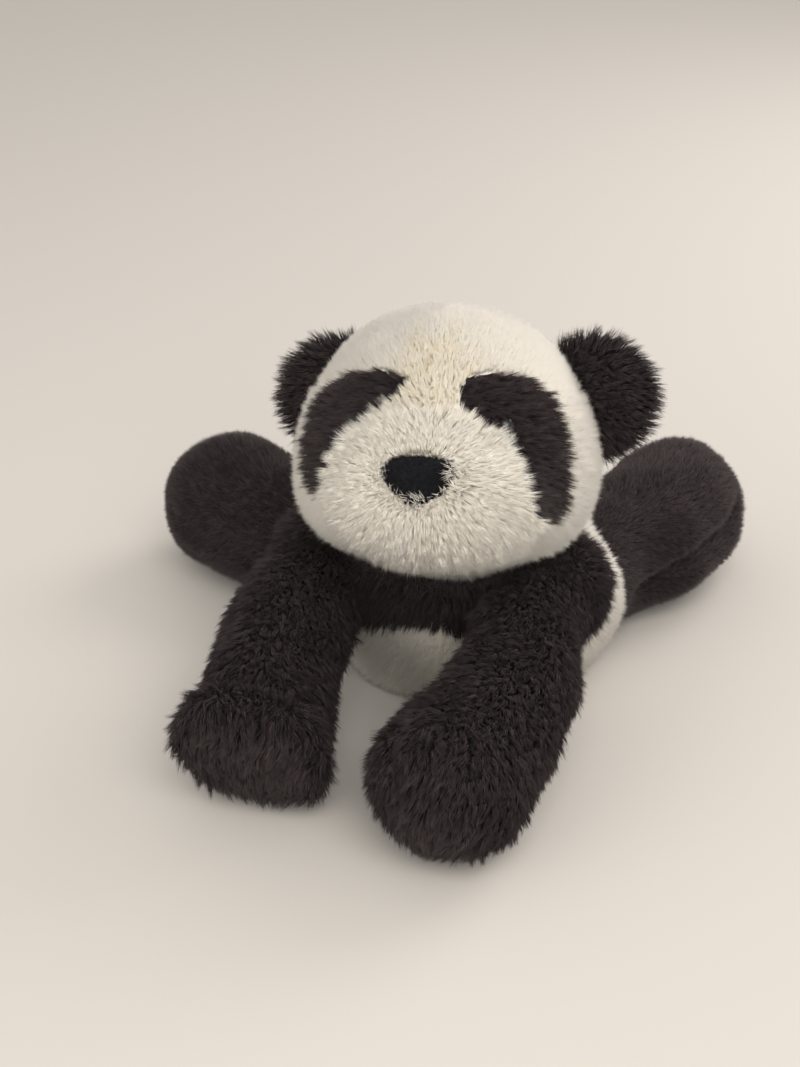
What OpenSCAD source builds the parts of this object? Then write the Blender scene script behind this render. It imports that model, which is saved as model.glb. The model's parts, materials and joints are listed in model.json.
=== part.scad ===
// Floppy plush panda cub, resting on its belly with the front paws out.
// Sewn plush panels over loose fibre filling, hand-stitched joints at the
// neck, shoulders and hips, floppy two-layer ears and bead eyes on washers.
// Frame: mm, +Z up, the toy faces -Y, its own left side is +X.
// The origin lies on the supporting surface, under the front of the belly.

/* [Node] */
// Sub-part to build, or all of them

/* [Cloth] */
// Thickness of the pile fabric panels
skin = 3; // [2.4:0.1:3.4]
// Space between the fabric and the filling
fill_gap = 0.3; // [0.2:0.1:0.5]
// Width of the ring-shaped gap that each stitched joint sits in
joint_gap = 3.4; // [3.2:0.1:3.6]
// Half thickness of a stitched seam ring
seam_r = 1.1; // [0.8:0.1:1.2]

/* [Head] */
// Widest half width of the head
head_r = 59; // [57:0.5:59]
// Height of the crown above the widest level
head_top = 62; // [58:0.5:62]
// Depth of the jaw below the widest level
head_low = 42; // [39:0.5:42]
// Radius of the muzzle
muzzle_r = 27; // [24:0.5:28]
// Half width of the muzzle
muzzle_w = 39; // [36:0.5:40]
// Head turned towards its own right
head_yaw = -12; // [-14:1:-10]
// Face tipped up
head_pitch = -18; // [-20:1:-16]
// Head leaning sideways
head_roll = -3; // [-4:0.5:-2]

/* [Ears] */
// Radius of an ear
ear_r = 22.5; // [22:0.5:25]
// Half thickness of an ear
ear_t = 7; // [6:0.5:8]

/* [Eyes and nose] */
// Radius of the bead eye
eye_r = 4.5; // [3.8:0.1:5]
// Radius of the washer behind the fabric
washer_r = 6; // [5:0.1:7]
// How far the nose pad stands off the muzzle
nose_t = 3.4; // [2.5:0.1:4]

/* [Torso] */
// Radius of the torso at its widest
torso_r = 61; // [60:0.5:62]
// Half height of the unflattened torso
torso_h = 60; // [57:0.5:60]
// Radius of the shoulder yoke
yoke_r = 24.6; // [24.2:0.1:25]
// Radius of the pellet pouch
pouch_r = 26; // [22:0.5:26]

/* [Limbs] */
// Radius of an arm at the shoulder
arm_root = 18; // [16:0.5:18]
// Radius of the front paw
paw_r = 27; // [25:0.5:28]
// Radius of the left leg at the hip
hip_l_root = 28; // [26:0.5:28]
// Radius of the right leg at the hip
hip_r_root = 26; // [24:0.5:26]
// Radius of the foot
foot_r = 32; // [30:0.5:32]

/* [Hidden] */
$fn = 96;
// placed points: head, neck pivot, limb pivots and limb end centres
head_c = [-4, -38, 117];
neck_c = head_c + [1.5, 8, -30];
torso_c = [6, -6, 30];
torso_yaw = -12;
shoulder_l = [39, -52, 54];
shoulder_r = [-53, -26, 55.5];
paw_l = [-4, -149, 30];
paw_r_c = [-79, -120, 30];
hip_l = [64, -2, 31];
hip_r = [-48, 16, 30];
foot_l = [108, 58, 32];
foot_r_c = [-104, 63, 32];
// widest level of the head and its profile rounding
head_z = -10;
jaw_e = 1.85;
// head clearances: dish in the torso, space inside the neck opening
dish_gap = 5;
neck_ball = 19.5;
neck_stem = 14;
neck_room = 23;
// face pieces, in the head frame
muzzle_c = [0, -40, -15];
patch_mid = 1.5;
patch_pts = [
  [12, 27], [15.5, 31], [22, 33], [33, 32],
  [43, 25], [49.5, 12], [51.5, -3], [50, -17],
  [46, -22], [42, -18], [36, -6], [32, 5],
  [26, 11], [19, 16], [13.5, 21]
];
eye_z = 13.5;
eye_az = 56.5;
eye_rad = 54.6;
eye_tip = 69;
shank_r = 1.3;
nose_c = [0, -3.5];
// ears, in the head frame
ear_l_c = [56, 20, 18];
ear_r_c = [-50, 20, 14];
ear_gap = 2.4;
// limb details
limb_steps = 9;
sole_h = 9;
leg_seam_x = 7;
big = 400;

dark = [0.23, 0.2, 0.2];
white = [0.93, 0.9, 0.83];
inner = [0.97, 0.97, 0.95];
bead = [0.03, 0.03, 0.03];
thread = [0.3, 0.27, 0.27];

// ---------- profiles ----------

// pear profile: radius rm at level z0, heights ht above and hb below
function pear(rm, z0, ht, hb, e = 2, n = 26) = [
  for (i = [0:n])
    let (
      a = -90 + 180 * i / n,
      q = a > 0 ? 1 : 2 / e,
      c = pow(abs(cos(a)), q),
      s = pow(abs(sin(a)), q)
    )
    [rm * c, z0 + (a > 0 ? ht * s : -hb * s)]
];

// limb profile: ball root at 0, swelling to radius r1 at len, rounded end rc
function limb_prof(len, r0, r1, rc, t) = concat(
  [
    for (i = [0:limb_steps])
      let (a = -90 + 90 * i / limb_steps)
      [(r0 - t) * cos(a), (r0 - t) * sin(a)]
  ],
  [
    [r0 + (r1 - r0) * 0.28 - t, len * 0.28],
    [r0 + (r1 - r0) * 0.62 - t, len * 0.55],
    [r0 + (r1 - r0) * 0.9 - t, len * 0.8]
  ],
  [
    for (i = [0:limb_steps])
      let (a = 90 * i / limb_steps)
      [(r1 - t) * cos(a), len + (rc - t) * sin(a)]
  ]
);

// clearance round a limb: cup of radius r, mouth opening by half angle h
function mouth_prof(r, h, len) = concat(
  [
    for (i = [0:12])
      let (a = -90 + (90 - h) * i / 12)
      [r * cos(a), r * sin(a)]
  ],
  [
    [r * cos(h) + (len + r * sin(h)) * tan(h), len],
    [0, len]
  ]
);

// ---------- frames and helpers ----------

module aim(p, v) {
  translate(p)
    rotate([0, acos(v[2] / norm(v)), atan2(v[1], v[0])])
      children();
}

module above(z) {
  translate([-big, -big, z])
    cube([2 * big, 2 * big, big]);
}

module head_frame() {
  translate(head_c)
    rotate([0, 0, head_yaw])
      rotate([head_pitch, 0, 0])
        rotate([0, head_roll, 0])
          children();
}

module head_solid(g) {
  rotate_extrude()
    polygon(pear(head_r + g, head_z, head_top + g, head_low + g, jaw_e));
}

module muzzle_solid(g) {
  translate(muzzle_c)
    rotate([0, 90, 0])
      rotate_extrude()
        polygon(pear(muzzle_r + g, 0, muzzle_w + g, muzzle_w + g));
}

module torso_solid(g) {
  translate(torso_c)
    rotate_extrude()
      polygon(pear(torso_r + g, 0, torso_h + g, torso_h + g));
}

module yoke_solid(g) {
  v = shoulder_l - shoulder_r;
  r = yoke_r + g;
  aim(shoulder_r, v)
    rotate_extrude()
      polygon(concat(
        [
          for (i = [0:8])
            [r * cos(-90 + 90 * i / 8), r * sin(-90 + 90 * i / 8)]
        ],
        [
          for (i = [0:8])
            [r * cos(90 * i / 8), norm(v) + r * sin(90 * i / 8)]
        ]
      ));
}

// rest direction of a limb swung by a degrees round the upright
function swung(p, q, a) =
  let (v = q - p)
  [
    v[0] * cos(a) - v[1] * sin(a),
    v[0] * sin(a) + v[1] * cos(a),
    v[2]
  ];

// swing used as the middle of each mouth
arm_mid = 20;
leg_mid = 17;
arm_open = 33;
leg_open = 34;

module arm_mouth(p, q, s) {
  aim(p, swung(p, q, s * arm_mid))
    rotate_extrude()
      polygon(mouth_prof(arm_root + joint_gap, arm_open, 90));
}

module leg_mouth(p, q, root, s) {
  aim(p, swung(p, q, -s * leg_mid))
    rotate_extrude()
      polygon(mouth_prof(root + joint_gap, leg_open, 90));
}

module all_mouths() {
  arm_mouth(shoulder_l, paw_l, 1);
  arm_mouth(shoulder_r, paw_r_c, -1);
  leg_mouth(hip_l, foot_l, hip_l_root, 1);
  leg_mouth(hip_r, foot_r_c, hip_r_root, -1);
}

module dish() {
  head_frame()
    head_solid(dish_gap);
}

module neck_solid(g) {
  r = neck_ball + g;
  s = neck_stem + g;
  m = acos(s / r);
  aim(neck_c, head_c - neck_c)
    rotate_extrude()
      polygon(concat(
        [[0, -36 - g], [s, -36 - g]],
        [
          for (i = [0:14])
            let (a = -m + (90 + m) * i / 14)
            [r * cos(a), r * sin(a)]
        ]
      ));
}

// space inside the head's neck opening
module neck_space() {
  h = 41.5;
  aim(neck_c, head_c - neck_c)
    rotate_extrude()
      polygon(concat(
        [[0, -50], [25, -50]],
        [
          for (i = [0:16])
            let (a = -h + (90 + h) * i / 16)
            [neck_room * cos(a), neck_room * sin(a)]
        ]
      ));
}

module ring(p, v, rho, s) {
  aim(p, v)
    translate([0, 0, s])
      rotate_extrude()
        translate([sqrt(rho * rho - s * s), 0])
          circle(seam_r, $fn = 32);
}

// ---------- torso ----------

module torso_skin() {
  difference() {
    intersection() {
      torso_solid(0);
      above(0);
    }
    intersection() {
      torso_solid(-skin);
      above(skin);
    }
  }
}

module white_cut() {
  yoke_solid(0);
  dish();
  all_mouths();
}

module belly_panel() {
  color(white)
    difference() {
      torso_skin();
      white_cut();
      above(-big + skin);
      translate(torso_c)
        rotate([0, 0, torso_yaw])
          translate([-big, -16, -big])
            cube([2 * big, big, 2 * big]);
    }
}

module flank_panel(s) {
  color(white)
    difference() {
      torso_skin();
      white_cut();
      above(-big + skin);
      translate(torso_c)
        rotate([0, 0, torso_yaw]) {
          translate([-big, -16 - big, -big])
            cube([2 * big, big, 2 * big]);
          translate([s > 0 ? -big : 0, -big, -big])
            cube([big, 2 * big, 2 * big]);
        }
    }
}

module seat_panel() {
  color(white)
    difference() {
      intersection() {
        torso_solid(0);
        above(0);
      }
      above(skin);
      all_mouths();
    }
}

module chest_yoke() {
  color(dark)
    difference() {
      yoke_solid(0);
      yoke_solid(-skin);
      torso_solid(-skin);
      dish();
      all_mouths();
      neck_solid(fill_gap);
    }
}

module neck_tube() {
  color(dark)
    neck_solid(0);
}

module pouch_solid(g) {
  translate([9, -6, 12])
    rotate_extrude()
      polygon(pear(pouch_r + g, 0, 8 + g, 7 + g));
}

module torso_stuffing() {
  color(inner)
    difference() {
      union() {
        intersection() {
          torso_solid(-skin - fill_gap);
          above(skin + fill_gap);
        }
        yoke_solid(-skin - fill_gap);
      }
      dish();
      all_mouths();
      neck_solid(fill_gap);
      pouch_solid(fill_gap);
    }
}

module pellet_pouch() {
  color(inner)
    pouch_solid(0);
}

// ---------- stitched seams ----------

module neck_seam() {
  color(thread)
    ring(neck_c, head_c - neck_c, (neck_ball + neck_room) / 2, -4);
}

module limb_seam(p, q, root) {
  rho = root + joint_gap / 2;
  color(thread)
    ring(p, q - p, rho, -0.6 * rho);
}

// ---------- head ----------

module head_skin() {
  difference() {
    head_solid(0);
    head_solid(-skin);
    muzzle_solid(-skin);
  }
}

module patch_prism(s) {
  translate([patch_mid, 0, 0])
    scale([s, 1, 1])
      rotate([90, 0, 0])
        linear_extrude(90)
          polygon(patch_pts);
}

// whole face and skull, less the patches and the neck opening
module head_panel() {
  difference() {
    head_frame()
      difference() {
        intersection() {
          head_skin();
          children();
        }
        patch_prism(1);
        patch_prism(-1);
      }
    neck_space();
  }
}

module block(lo, hi) {
  translate(lo)
    cube(hi - lo);
}

module forehead_panel() {
  color(white)
    head_panel()
      block([-90, -90, 20], [90, 12, 90]);
}

module head_back_panel() {
  color(white)
    head_panel()
      block([-90, 12, -90], [90, 90, 90]);
}

module cheek_panel(s) {
  color(white)
    head_panel()
      block([s > 0 ? 0 : -90, -90, -34], [s > 0 ? 90 : 0, 12, 20]);
}

module chin_panel() {
  color(white)
    head_panel()
      block([-90, -90, -90], [90, 12, -34]);
}

module muzzle_panel() {
  color(white)
    head_frame()
      difference() {
        muzzle_solid(0);
        muzzle_solid(-skin);
        head_solid(0);
      }
}

module eye_frame(s) {
  rotate([0, 0, s > 0 ? -eye_az : 180 + eye_az])
    translate([eye_rad, 0, eye_z])
      rotate([0, eye_tip, 0])
        children();
}

module eye_patch(s) {
  color(dark)
    head_frame()
      difference() {
        intersection() {
          head_skin();
          patch_prism(s);
        }
        eye_frame(s)
          translate([0, 0, -12])
            cylinder(r = shank_r + 0.3, h = 24);
      }
}

module eye(s) {
  color(bead)
    head_frame()
      eye_frame(s)
        rotate_extrude()
          polygon(concat(
            [[0, -9], [shank_r, -9], [shank_r, 0.8]],
            [
              for (i = [0:12])
                let (a = 90 * i / 12)
                [eye_r * cos(a), 0.8 + eye_r * 0.8 * sin(a)]
            ]
          ));
}

module eye_washer(s) {
  color(bead)
    head_frame()
      eye_frame(s)
        translate([0, 0, -5.4])
          difference() {
            cylinder(r = washer_r, h = 1.5);
            translate([0, 0, -1])
              cylinder(r = shank_r + 0.15, h = 4);
          }
}

module eye_pocket(s) {
  eye_frame(s) {
    translate([0, 0, -5.8])
      cylinder(r = washer_r + 0.4, h = 5);
    translate([0, 0, -9.5])
      cylinder(r = shank_r + 0.4, h = 6);
  }
}

module nose_pad() {
  color(bead)
    head_frame()
      difference() {
        intersection() {
          muzzle_solid(nose_t);
          translate([0, -45, 0])
            rotate([90, 0, 0])
              linear_extrude(45)
                hull() {
                  translate(nose_c + [-8.5, 1])
                    circle(5.5, $fn = 16);
                  translate(nose_c + [8.5, 1])
                    circle(5.5, $fn = 16);
                  translate(nose_c + [0, -6])
                    circle(4.5, $fn = 16);
                }
        }
        muzzle_solid(0);
      }
}

module head_stuffing() {
  color(inner)
    difference() {
      head_frame()
        difference() {
          union() {
            head_solid(-skin - fill_gap);
            muzzle_solid(-skin - fill_gap);
          }
          eye_pocket(1);
          eye_pocket(-1);
        }
      neck_space();
    }
}

// ---------- ears ----------

module ear_half(c, f) {
  difference() {
    translate(c)
      rotate([f < 0 ? 90 : -90, 0, 0])
        rotate_extrude()
          polygon(concat(
            [[0, 0]],
            [
              for (i = [0:12])
                let (a = 90 * i / 12)
                [ear_r * cos(a), ear_t * sin(a)]
            ]
          ));
    head_solid(ear_gap);
  }
}

module ear_front(c) {
  color(dark)
    head_frame()
      ear_half(c, -1);
}

module ear_back(c) {
  color(dark)
    head_frame()
      ear_half(c, 1);
}

// ---------- arms and legs ----------

module limb_solid(p, q, r0, r1, rc, t) {
  v = q - p;
  intersection() {
    aim(p, v)
      rotate_extrude()
        polygon(limb_prof(norm(v), r0, r1, rc, t));
    above(t);
  }
}

module limb_skin(p, q, r0, r1, rc) {
  difference() {
    limb_solid(p, q, r0, r1, rc, 0);
    limb_solid(p, q, r0, r1, rc, skin);
  }
}

// half of the limb's own frame: s picks the side of its y axis
module side_half(p, q, s) {
  aim(p, q - p)
    translate([-big / 2, s > 0 ? 0 : -big, -big / 2])
      cube([big, big, big]);
}

// the part under the paw, from half way along to the end
module sole_zone(p, q) {
  intersection() {
    aim(p, q - p)
      translate([-60, -60, norm(q - p) * 0.62])
        cube([120, 120, 90]);
    translate([-big, -big, -1])
      cube([2 * big, 2 * big, sole_h + 1]);
  }
}

module arm_panel(p, q, rc, s) {
  color(dark)
    difference() {
      intersection() {
        limb_skin(p, q, arm_root, paw_r, rc);
        side_half(p, q, s);
      }
      sole_zone(p, q);
    }
}

module paw_sole(p, q, rc) {
  color(dark)
    intersection() {
      limb_skin(p, q, arm_root, paw_r, rc);
      sole_zone(p, q);
    }
}

module limb_stuffing(p, q, r0, r1, rc) {
  color(inner)
    limb_solid(p, q, r0, r1, rc, skin + fill_gap);
}

module end_zone(p, q) {
  aim(p, q - p)
    translate([-90, -90, norm(q - p) + 15])
      cube([180, 180, 60]);
}

module leg_panel(p, q, r0, s) {
  color(dark)
    difference() {
      intersection() {
        limb_skin(p, q, r0, foot_r, foot_r - 2);
        aim(p, q - p)
          translate([leg_seam_x - (s > 0 ? big : 0), -big / 2, -big / 2])
            cube([big, big, big]);
      }
      end_zone(p, q);
    }
}

module foot_sole(p, q, r0) {
  color(dark)
    intersection() {
      limb_skin(p, q, r0, foot_r, foot_r - 2);
      end_zone(p, q);
    }
}

// ---------- output ----------

belly_panel();
flank_panel(1);  // flank_panel_left
flank_panel(-1);  // flank_panel_right
seat_panel();
chest_yoke();
neck_tube();
torso_stuffing();
pellet_pouch();
neck_seam();
limb_seam(shoulder_l, paw_l, arm_root);  // shoulder_seam_left
limb_seam(shoulder_r, paw_r_c, arm_root);  // shoulder_seam_right
limb_seam(hip_l, foot_l, hip_l_root);  // hip_seam_left
limb_seam(hip_r, foot_r_c, hip_r_root);  // hip_seam_right
forehead_panel();
head_back_panel();
cheek_panel(1);  // cheek_panel_left
cheek_panel(-1);  // cheek_panel_right
chin_panel();
muzzle_panel();
eye_patch(1);  // eye_patch_left
eye_patch(-1);  // eye_patch_right
nose_pad();
eye(1);  // eye_left
eye(-1);  // eye_right
eye_washer(1);  // eye_washer_left
eye_washer(-1);  // eye_washer_right
head_stuffing();
ear_front(ear_l_c);  // ear_front_left
ear_back(ear_l_c);  // ear_back_left
ear_front(ear_r_c);  // ear_front_right
ear_back(ear_r_c);  // ear_back_right
arm_panel(shoulder_l, paw_l, 24, 1);  // arm_outer_left
arm_panel(shoulder_l, paw_l, 24, -1);  // arm_inner_left
paw_sole(shoulder_l, paw_l, 24);  // paw_sole_left
limb_stuffing(shoulder_l, paw_l, arm_root, paw_r, 24);  // arm_stuffing_left
arm_panel(shoulder_r, paw_r_c, 23, -1);  // arm_outer_right
arm_panel(shoulder_r, paw_r_c, 23, 1);  // arm_inner_right
paw_sole(shoulder_r, paw_r_c, 23);  // paw_sole_right
limb_stuffing(shoulder_r, paw_r_c, arm_root, paw_r, 23);  // arm_stuffing_right
leg_panel(hip_l, foot_l, hip_l_root, 1);  // leg_top_left
leg_panel(hip_l, foot_l, hip_l_root, -1);  // leg_under_left
foot_sole(hip_l, foot_l, hip_l_root);  // foot_sole_left
limb_stuffing(hip_l, foot_l, hip_l_root, foot_r, foot_r - 2);  // leg_stuffing_left
leg_panel(hip_r, foot_r_c, hip_r_root, 1);  // leg_top_right
leg_panel(hip_r, foot_r_c, hip_r_root, -1);  // leg_under_right
foot_sole(hip_r, foot_r_c, hip_r_root);  // foot_sole_right
limb_stuffing(hip_r, foot_r_c, hip_r_root, foot_r, foot_r - 2);  // leg_stuffing_right
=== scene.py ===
import json
import math

import bpy
import numpy as np
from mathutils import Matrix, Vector
from mathutils.kdtree import KDTree


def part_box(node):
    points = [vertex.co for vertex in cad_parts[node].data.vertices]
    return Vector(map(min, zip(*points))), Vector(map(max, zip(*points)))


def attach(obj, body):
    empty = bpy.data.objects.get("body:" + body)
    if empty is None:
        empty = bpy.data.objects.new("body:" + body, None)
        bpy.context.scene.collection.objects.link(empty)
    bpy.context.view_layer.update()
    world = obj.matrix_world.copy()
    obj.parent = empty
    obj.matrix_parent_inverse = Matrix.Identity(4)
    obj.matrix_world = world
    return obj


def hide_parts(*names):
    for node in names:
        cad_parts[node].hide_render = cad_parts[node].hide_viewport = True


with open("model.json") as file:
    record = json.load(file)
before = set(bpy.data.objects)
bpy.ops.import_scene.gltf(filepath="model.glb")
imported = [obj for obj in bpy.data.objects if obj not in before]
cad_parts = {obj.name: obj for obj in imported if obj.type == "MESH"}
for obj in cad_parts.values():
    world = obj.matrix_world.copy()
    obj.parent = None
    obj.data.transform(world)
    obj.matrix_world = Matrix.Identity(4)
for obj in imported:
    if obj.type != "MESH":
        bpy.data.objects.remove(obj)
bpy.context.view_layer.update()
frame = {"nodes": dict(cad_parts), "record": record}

MM = 0.001
joints = {j["name"]: j for j in frame["record"]["behaviour"]["joints"]}
AMOUNT = 1.0  # share of the strands
PIECE_TRIANGLES = 195000  # a pile with more is split into several pieces
CLOTH = 1.2  # thickness of the backing cloth
BENT_OVER = 7.3  # pile longer than this curves
ROOT_DEPTH = 0.8  # strands start this far under the cloth's face
NECK_GAP = 4.6  # between the head's cloth and the torso's


# ---------- frames, in millimetres ----------
def unit(v):
    v = np.asarray(v, float)
    return v / np.maximum(np.linalg.norm(v, axis=-1, keepdims=True), 1e-12)


def joint_at(name):
    return np.array(joints[name]["pos_m"], float) / MM


def ramp(x, a, b):
    t = np.clip((np.asarray(x, float) - a) / (b - a), 0, 1)
    return t * t * (3 - 2 * t)


def waves(p, size, seed, n=16):
    """Smooth lumps about size across, from -1 to 1."""
    r = np.random.default_rng(seed)
    k = unit(r.normal(size=(n, 3))) * (2 * math.pi / size) * r.uniform(0.7, 1.4, (n, 1))
    return np.sin(p @ k.T + r.uniform(0, 7, n)).sum(-1) / math.sqrt(n) * 0.8


ex = unit(joints["neck_nod"]["axis"])
ez = unit(np.add(joints["ear_flap_left"]["axis"], joints["ear_flap_right"]["axis"]))
HEAD = np.stack([ex, np.cross(ez, ex), ez], 1)
NECK_TO_HEAD = 31.085
HEAD_C = joint_at("neck_nod") + NECK_TO_HEAD * unit(joints["neck_turn"]["axis"])


def to_head(p):
    return (p - HEAD_C) @ HEAD


def from_head(q):
    return HEAD_C + np.asarray(q, float) @ HEAD.T


class Limb:
    """A limb's frame: its joint is the origin, u runs along it, v across it, w is its top.

    It reaches from a root to an end of these radii, then a rounded cap; the end's centre is end_z
    over the floor. mid degrees from u is the middle of its swing, which its hollow faces. front is
    the share of the front half's thickness that shows at the root.
    """

    def __init__(self, side, lift, reach, end_z, root, end, cap, mid, front=1.0):
        self.o = joint_at(lift)
        flat = np.cross([0, 0, 1], joints[lift]["axis"])
        drop = end_z - self.o[2]
        self.u = unit(flat * math.sqrt(reach**2 - drop**2) + [0, 0, drop])
        self.v = unit(np.cross([0, 0, 1], self.u))
        self.w = np.cross(self.u, self.v)
        self.R = np.stack([self.v, self.w, self.u], 1)
        self.side, self.len, self.root, self.r, self.cap, self.front = side, reach, root, end, cap, front
        a = math.radians(mid)
        x, y, z = self.u
        self.m = np.array([x * math.cos(a) - y * math.sin(a), x * math.sin(a) + y * math.cos(a), z])

    def local(self, p):
        return (p - self.o) @ self.R

    def world(self, q):
        return self.o + q @ self.R.T

    def radius(self, s):
        grow = np.interp(s / self.len, [0, 0.28, 0.55, 0.8, 1], [0, 0.28, 0.62, 0.9, 1])
        r = self.root + (self.r - self.root) * grow
        over = np.clip((s - self.len) / self.cap, 0, 1)
        back = np.sqrt(np.clip(self.root**2 - np.minimum(s, 0) ** 2, 0, None))
        return np.where(s < 0, back, r * np.sqrt(1 - over**2))


ARM_L = Limb("left", "shoulder_lift_left", reach=109.1, end_z=30, root=18, end=27, cap=24, mid=20)
ARM_R = Limb("right", "shoulder_lift_right", reach=100.8, end_z=30, root=18, end=27, cap=23, mid=-20)
LEG_L = Limb("left", "hip_lift_left", reach=74.4, end_z=32, root=28, end=32, cap=30, mid=-17, front=0.6)
LEG_R = Limb("right", "hip_lift_right", reach=73.2, end_z=32, root=26, end=32, cap=30, mid=17)
LIMBS = (ARM_L, ARM_R, LEG_L, LEG_R)
TORSO = np.array([6.0, -6.0, 30.0])
YAW = math.radians(-12)


# ---------- closed shapes ----------
def turned(rows, turns=80):
    """Points and faces of a profile of (height, radius) rows turned round z."""
    z, r = np.array(rows, float).T
    a = np.linspace(0, 2 * math.pi, turns, endpoint=False)
    ring = np.stack(
        [np.outer(r, np.cos(a)), np.outer(r, np.sin(a)), np.outer(z, np.ones(turns))], -1
    ).reshape(-1, 3)
    n = len(z)
    faces = [
        (i * turns + j, i * turns + (j + 1) % turns, (i + 1) * turns + (j + 1) % turns, (i + 1) * turns + j)
        for i in range(n - 1)
        for j in range(turns)
    ]
    for j in range(turns):
        k = (j + 1) % turns
        faces.append((n * turns, k, j))
        faces.append((n * turns + 1, (n - 1) * turns + j, (n - 1) * turns + k))
    return np.vstack([ring, [[0, 0, z[0]], [0, 0, z[-1]]]]), faces


def pear(r, z0, top, low, e=2.0, n=34):
    rows = []
    for i in range(1, n):
        a = math.radians(-90 + 180 * i / n)
        q = 1 if a > 0 else 2 / e
        s = abs(math.sin(a)) ** q
        rows.append((z0 + (top * s if a > 0 else -low * s), r * math.cos(a) ** q))
    return turned(rows)


def capsule(a, b, r):
    d = b - a
    n = np.linalg.norm(d)
    rows = [(-r * math.cos(t), r * math.sin(t)) for t in np.linspace(0.15, math.pi / 2, 10)]
    rows += [(n + r * math.sin(t), r * math.cos(t)) for t in np.linspace(0, math.pi / 2 - 0.15, 10)]
    v, f = turned(rows)
    x = unit(np.cross(d, [0.3, 0.2, 1]))
    return a + v @ np.stack([x, np.cross(unit(d), x), unit(d)]), f


def limb_shape(limb, inset):
    s = np.concatenate([
        -limb.root * np.cos(np.linspace(0.15, math.pi / 2, 10)),
        np.linspace(3, limb.len, 24),
        limb.len + limb.cap * np.sin(np.linspace(0.15, math.pi / 2 - 0.1, 10)),
    ])
    v, f = turned([(x, max(float(limb.radius(x)) - inset, 0.6)) for x in s])
    return limb.world(v), f


def mesh_object(name, verts, faces):
    me = bpy.data.meshes.new(name)
    me.from_pydata((np.asarray(verts) * MM).tolist(), [], faces)
    me.update()
    ob = bpy.data.objects.new(name, me)
    bpy.context.scene.collection.objects.link(ob)
    return ob


def points(me):
    co = np.empty(len(me.vertices) * 3, np.float32)
    me.vertices.foreach_get("co", co)
    return co.reshape(-1, 3).astype(float) / MM


def put(me, p):
    me.vertices.foreach_set("co", (p * MM).astype(np.float32).ravel())
    me.update()


def normals(me):
    n = np.empty(len(me.vertices) * 3, np.float32)
    me.vertices.foreach_get("normal", n)
    return n.reshape(-1, 3).astype(float)


def applied(ob):
    dg = bpy.context.evaluated_depsgraph_get()
    me = bpy.data.meshes.new_from_object(ob.evaluated_get(dg))
    old = ob.data
    ob.modifiers.clear()
    ob.data = me
    bpy.data.meshes.remove(old)
    return ob


def moulded(name, shapes, cell=2.4, relax=6):
    """One smooth closed surface round all the shapes."""
    verts, faces, n = [], [], 0
    for v, f in shapes:
        verts.append(v)
        faces += [tuple(i + n for i in face) for face in f]
        n += len(v)
    ob = mesh_object(name, np.vstack(verts), faces)
    m = ob.modifiers.new("cells", "REMESH")
    m.mode, m.voxel_size = "VOXEL", cell * MM
    m = ob.modifiers.new("relax", "SMOOTH")
    m.factor, m.iterations = 0.5, relax
    return applied(ob)


def over(p, z):
    """Lifts points that are lower than z."""
    return np.maximum(p, [-1e9, -1e9, z])


def reshape(ob, change, relax=0):
    """change(points, normals) gives the new points."""
    put(ob.data, change(points(ob.data), normals(ob.data)))
    if relax:
        m = ob.modifiers.new("relax", "SMOOTH")
        m.factor, m.iterations = 0.5, relax
        applied(ob)
    return ob


# ---------- materials ----------
def tree(name):
    m = bpy.data.materials.new(name)
    m.use_nodes = True
    return m, m.node_tree, m.node_tree.nodes["Principled BSDF"]


def plain(name, colour, rough=0.85, sheen=0.0, tint=(1, 1, 1)):
    m, nt, p = tree(name)
    p.inputs["Base Color"].default_value = (*colour, 1)
    p.inputs["Roughness"].default_value = rough
    p.inputs["Specular IOR Level"].default_value = 0.25
    p.inputs["Sheen Weight"].default_value = sheen
    p.inputs["Sheen Roughness"].default_value = 0.45
    p.inputs["Sheen Tint"].default_value = (*tint, 1)
    m.diffuse_color = (*colour, 1)
    return m


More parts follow.
